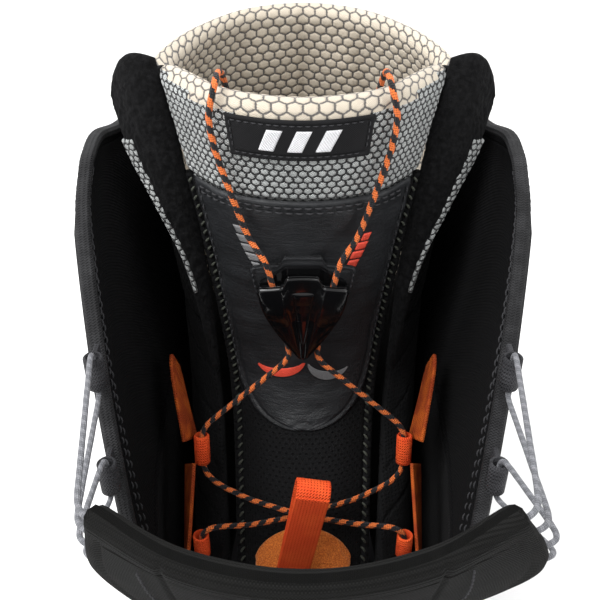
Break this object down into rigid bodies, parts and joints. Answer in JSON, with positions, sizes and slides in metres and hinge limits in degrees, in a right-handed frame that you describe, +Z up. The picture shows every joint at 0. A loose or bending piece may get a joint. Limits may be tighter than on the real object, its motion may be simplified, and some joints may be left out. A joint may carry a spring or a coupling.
{
  "type": "snowboard boot",
  "caption": "Snowboard boot opened up: stiff shell with spread cuffs and folded shell tongue, removable padded liner with a lace lock on its tongue.",
  "frame": {"origin": "middle of the outline on the floor, under the sole", "axes": "+Z up, toe towards -Y, heel towards +Y, X across the boot"},
  "size_m": [0.1678, 0.304, 0.2968],
  "materials": {
    "rubber_black": "matt moulded",
    "midsole_foam": "matt foam",
    "board_fibre": "pressed fibre",
    "shell_fabric": "coated woven",
    "ripstop_black": "ripstop weave",
    "webbing_black": "woven",
    "webbing_grey": "woven",
    "dock_plastic": "satin",
    "handle_orange": "satin",
    "lace_grey": "braided",
    "ferrule_metal": "satin",
    "footbed_foam": "soft foam",
    "liner_fabric": "textured knit",
    "collar_mesh": "hexagon mesh",
    "plush_black": "plush pile",
    "strap_amber": "woven",
    "webbing_orange": "woven",
    "tongue_mesh": "raised hexagon mesh",
    "leatherette": "grained",
    "label_weave": "fine weave",
    "lock_gloss": "gloss",
    "spring_steel": "drawn wire",
    "lace_orange": "braided, orange and black",
    "fleece_orange": "fleece"
  },
  "bodies": {
    "shell": {"outsole": "rubber_black", "midsole": "midsole_foam", "lasting_board": "board_fibre", "vamp": "shell_fabric", "toe_bumper": "rubber_black", "shell_lower": "shell_fabric", "heel_counter": "rubber_black", "cuff_left": "shell_fabric", "cuff_right": "shell_fabric", "backstay": "rubber_black", "eyestay_left": "rubber_black", "eyestay_right": "rubber_black", "ankle_wing_left": "rubber_black", "ankle_wing_right": "rubber_black", "heel_loop": "webbing_black", "lace_loop_left_upper": "webbing_grey", "lace_loop_left_lower": "webbing_grey", "lace_loop_right_upper": "webbing_grey", "lace_loop_right_lower": "webbing_grey", "dock_left": "dock_plastic", "dock_right": "dock_plastic", "shell_lace_upper": "lace_grey", "shell_lace_lower": "lace_grey", "liner_sole": "footbed_foam", "footbed": "footbed_foam", "liner_toe": "liner_fabric", "liner_boot": "liner_fabric", "liner_collar": "collar_mesh", "liner_loop": "webbing_black", "lapel_left": "plush_black", "lapel_right": "plush_black", "strap_left": "strap_amber", "strap_right": "strap_amber", "tunnel_left_upper": "webbing_orange", "tunnel_left_lower": "webbing_orange", "tunnel_right_upper": "webbing_orange", "tunnel_right_lower": "webbing_orange", "tongue_base": "liner_fabric", "tab_patch": "fleece_orange"},
    "shell_tongue": {"shell_tongue_body": "shell_fabric", "shell_tongue_cover": "ripstop_black", "ferrule_upper": "ferrule_metal", "ferrule_lower": "ferrule_metal"},
    "liner_tongue": {"tongue_upper": "tongue_mesh", "tongue_panel": "leatherette", "label_patch": "label_weave", "lock_dock": "leatherette", "inner_lace": "lace_orange", "inner_handle": "dock_plastic"},
    "lace_lock": {"lock_base": "lock_gloss", "lock_housing": "lock_gloss", "lock_spring": "spring_steel"},
    "lock_wedge": {"lock_wedge": "lock_gloss"},
    "left_handle": {"handle_left": "handle_orange"},
    "right_handle": {"handle_right": "handle_orange"},
    "pull_tab": {"pull_tab": "webbing_orange"}
  },
  "joints": [
    {"name": "shell_tongue_fold", "type": "hinge", "parent": "shell", "child": "shell_tongue", "pos_m": [0, -0.074, 0.1], "axis": [-1, 0, 0], "range_deg": [-6, 12], "deforming": ["shell_lace_upper", "shell_lace_lower"]},
    {"name": "liner_tongue_flex", "type": "hinge", "parent": "shell", "child": "liner_tongue", "pos_m": [0, -0.01, 0.15], "axis": [1, 0, 0], "range_deg": [0, 20], "deforming": ["inner_lace"]},
    {"name": "lock_slide", "type": "slide", "parent": "liner_tongue", "child": "lace_lock", "axis": [0, -0.1444, 0.9895], "range_m": [-0.004, 0.018], "deforming": ["inner_lace"]},
    {"name": "wedge_release", "type": "slide", "parent": "lace_lock", "child": "lock_wedge", "axis": [0, -0.1444, 0.9895], "range_m": [0, 0.003], "stiffness_N_per_m": 150, "deforming": ["lock_spring"]},
    {"name": "left_handle_pull", "type": "slide", "parent": "shell", "child": "left_handle", "axis": [-0.1114, -0.0336, 0.9932], "range_m": [0, 0.02]},
    {"name": "right_handle_pull", "type": "slide", "parent": "shell", "child": "right_handle", "axis": [0.1114, -0.0336, 0.9932], "range_m": [0, 0.02]},
    {"name": "pull_tab_flex", "type": "hinge", "parent": "shell", "child": "pull_tab", "pos_m": [-0.004, -0.053, 0.1225], "axis": [1, 0, 0], "range_deg": [-6, 10]}
  ]
}
